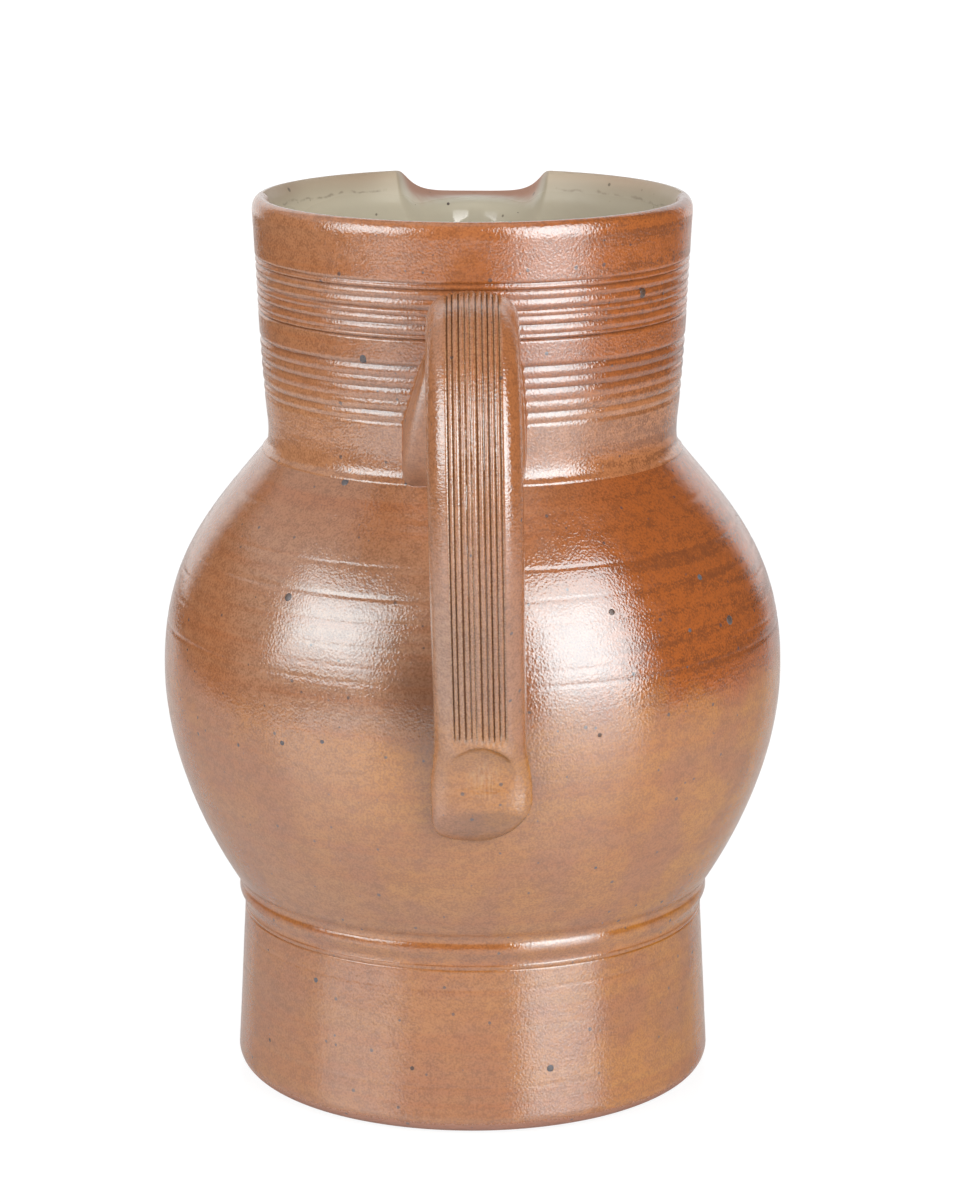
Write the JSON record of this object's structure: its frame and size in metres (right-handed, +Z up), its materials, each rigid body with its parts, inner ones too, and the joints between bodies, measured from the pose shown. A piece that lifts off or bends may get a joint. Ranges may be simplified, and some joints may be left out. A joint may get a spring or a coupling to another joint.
{
  "type": "water pitcher",
  "caption": "Salt-glazed stoneware water pitcher: thrown foot, globe belly and combed collar, with a luted beak spout, a reeded strap handle pressed on with the thumb, and a pale glazed inside",
  "frame": {"origin": "middle of the flat base, on the axis of the turned body", "axes": "+Z up along the axis, +Y towards the spout, -Y towards the handle, +X to the right when the handle faces the viewer"},
  "size_m": [0.1744, 0.2068, 0.25],
  "materials": {
    "foot_stoneware": "salt-glazed, fine orange-peel gloss",
    "belly_stoneware": "salt-glazed, fine orange-peel gloss",
    "collar_stoneware": "salt-glazed, combed bands",
    "spout_stoneware": "salt-glazed, fine orange-peel gloss",
    "handle_stoneware": "salt-glazed, combed face",
    "foot_slip": "fired slip",
    "neck_slip": "fired slip",
    "spout_slip": "fired slip",
    "root_slip": "fired slip",
    "terminal_slip": "fired slip",
    "liner_glaze": "smooth glossy liner glaze",
    "spout_glaze": "smooth glossy liner glaze"
  },
  "bodies": {
    "root": {"foot_drum": "foot_stoneware", "foot_slip": "foot_slip", "belly_globe": "belly_stoneware", "neck_slip": "neck_slip", "neck_collar": "collar_stoneware", "pouring_spout": "spout_stoneware", "spout_slip": "spout_slip", "strap_handle": "handle_stoneware", "root_slip": "root_slip", "terminal_slip": "terminal_slip", "liner_glaze": "liner_glaze", "spout_glaze": "spout_glaze"}
  },
  "joints": []
}
